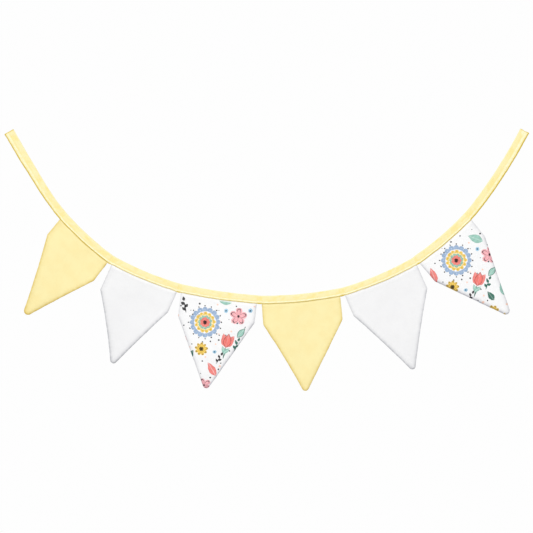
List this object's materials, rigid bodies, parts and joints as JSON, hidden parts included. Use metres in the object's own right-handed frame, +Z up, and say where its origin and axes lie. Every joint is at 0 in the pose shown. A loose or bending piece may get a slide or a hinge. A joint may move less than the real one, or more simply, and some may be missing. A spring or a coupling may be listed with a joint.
{
  "type": "fabric bunting",
  "caption": "Hanging string of turned, double-layer cloth pennants sewn into a folded cloth tape with plain ends, hung in a shallow curve from the tape's two ends.",
  "frame": {"origin": "left hanging point: 10 mm in from the tape's left end, in the middle of its width and thickness", "axes": "+X to the right along the string, +Y to the back, +Z up; the front faces -Y"},
  "size_m": [1.0986, 0.0094, 0.5495],
  "materials": {
    "yellow_tape": "matt plain-weave cotton tape",
    "yellow_cotton": "matt plain-weave cotton",
    "white_cotton": "matt plain-weave cotton",
    "printed_cotton": "matt plain-weave cotton, printed with scattered motifs on white"
  },
  "bodies": {
    "root": {"tape": "yellow_tape", "pennant_1": "yellow_cotton", "pennant_2": "white_cotton", "pennant_3": "printed_cotton", "pennant_4": "yellow_cotton", "pennant_5": "white_cotton", "pennant_6": "printed_cotton"}
  },
  "joints": []
}
